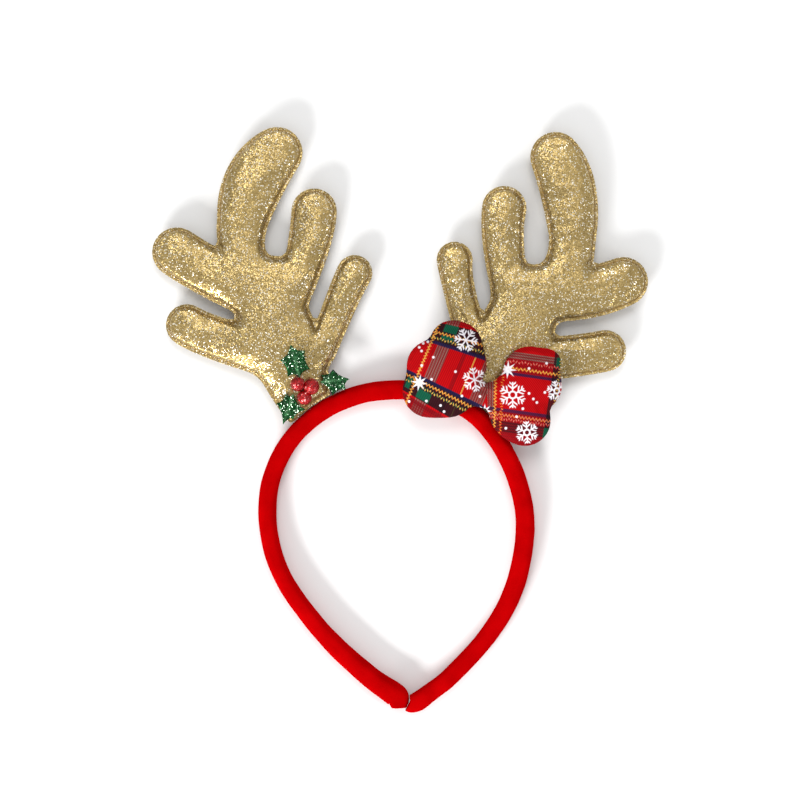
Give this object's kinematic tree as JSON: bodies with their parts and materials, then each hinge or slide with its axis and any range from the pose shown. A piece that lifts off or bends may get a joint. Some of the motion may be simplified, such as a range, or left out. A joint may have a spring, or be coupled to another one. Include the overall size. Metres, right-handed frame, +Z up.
{
  "type": "reindeer antler headband",
  "caption": "Red hoop headband with padded gold glitter reindeer antlers, a tartan bow and a holly sprig, lying flat.",
  "frame": {"origin": "middle of the whole outline, on the surface that the headband lies on", "axes": "+Y from the open ends of the hoop to the antler tips, +X to the wearer's bow side, +Z up off the surface"},
  "size_m": [0.2379, 0.281, 0.0236],
  "materials": {
    "red_velvet": "short red pile, matt with a soft sheen",
    "gold_glitter": "fine gold glitter bonded to cloth",
    "red_tartan": "woven red tartan with printed white snowflakes",
    "green_foil": "green glitter foil",
    "berry_red": "glossy red with fine glitter"
  },
  "bodies": {
    "root": {"band": "red_velvet", "antler_left": "gold_glitter", "antler_right": "gold_glitter", "bow": "red_tartan", "holly_leaf_1": "green_foil", "holly_leaf_2": "green_foil", "holly_leaf_3": "green_foil", "berry_1": "berry_red", "berry_2": "berry_red", "berry_3": "berry_red"}
  },
  "joints": []
}
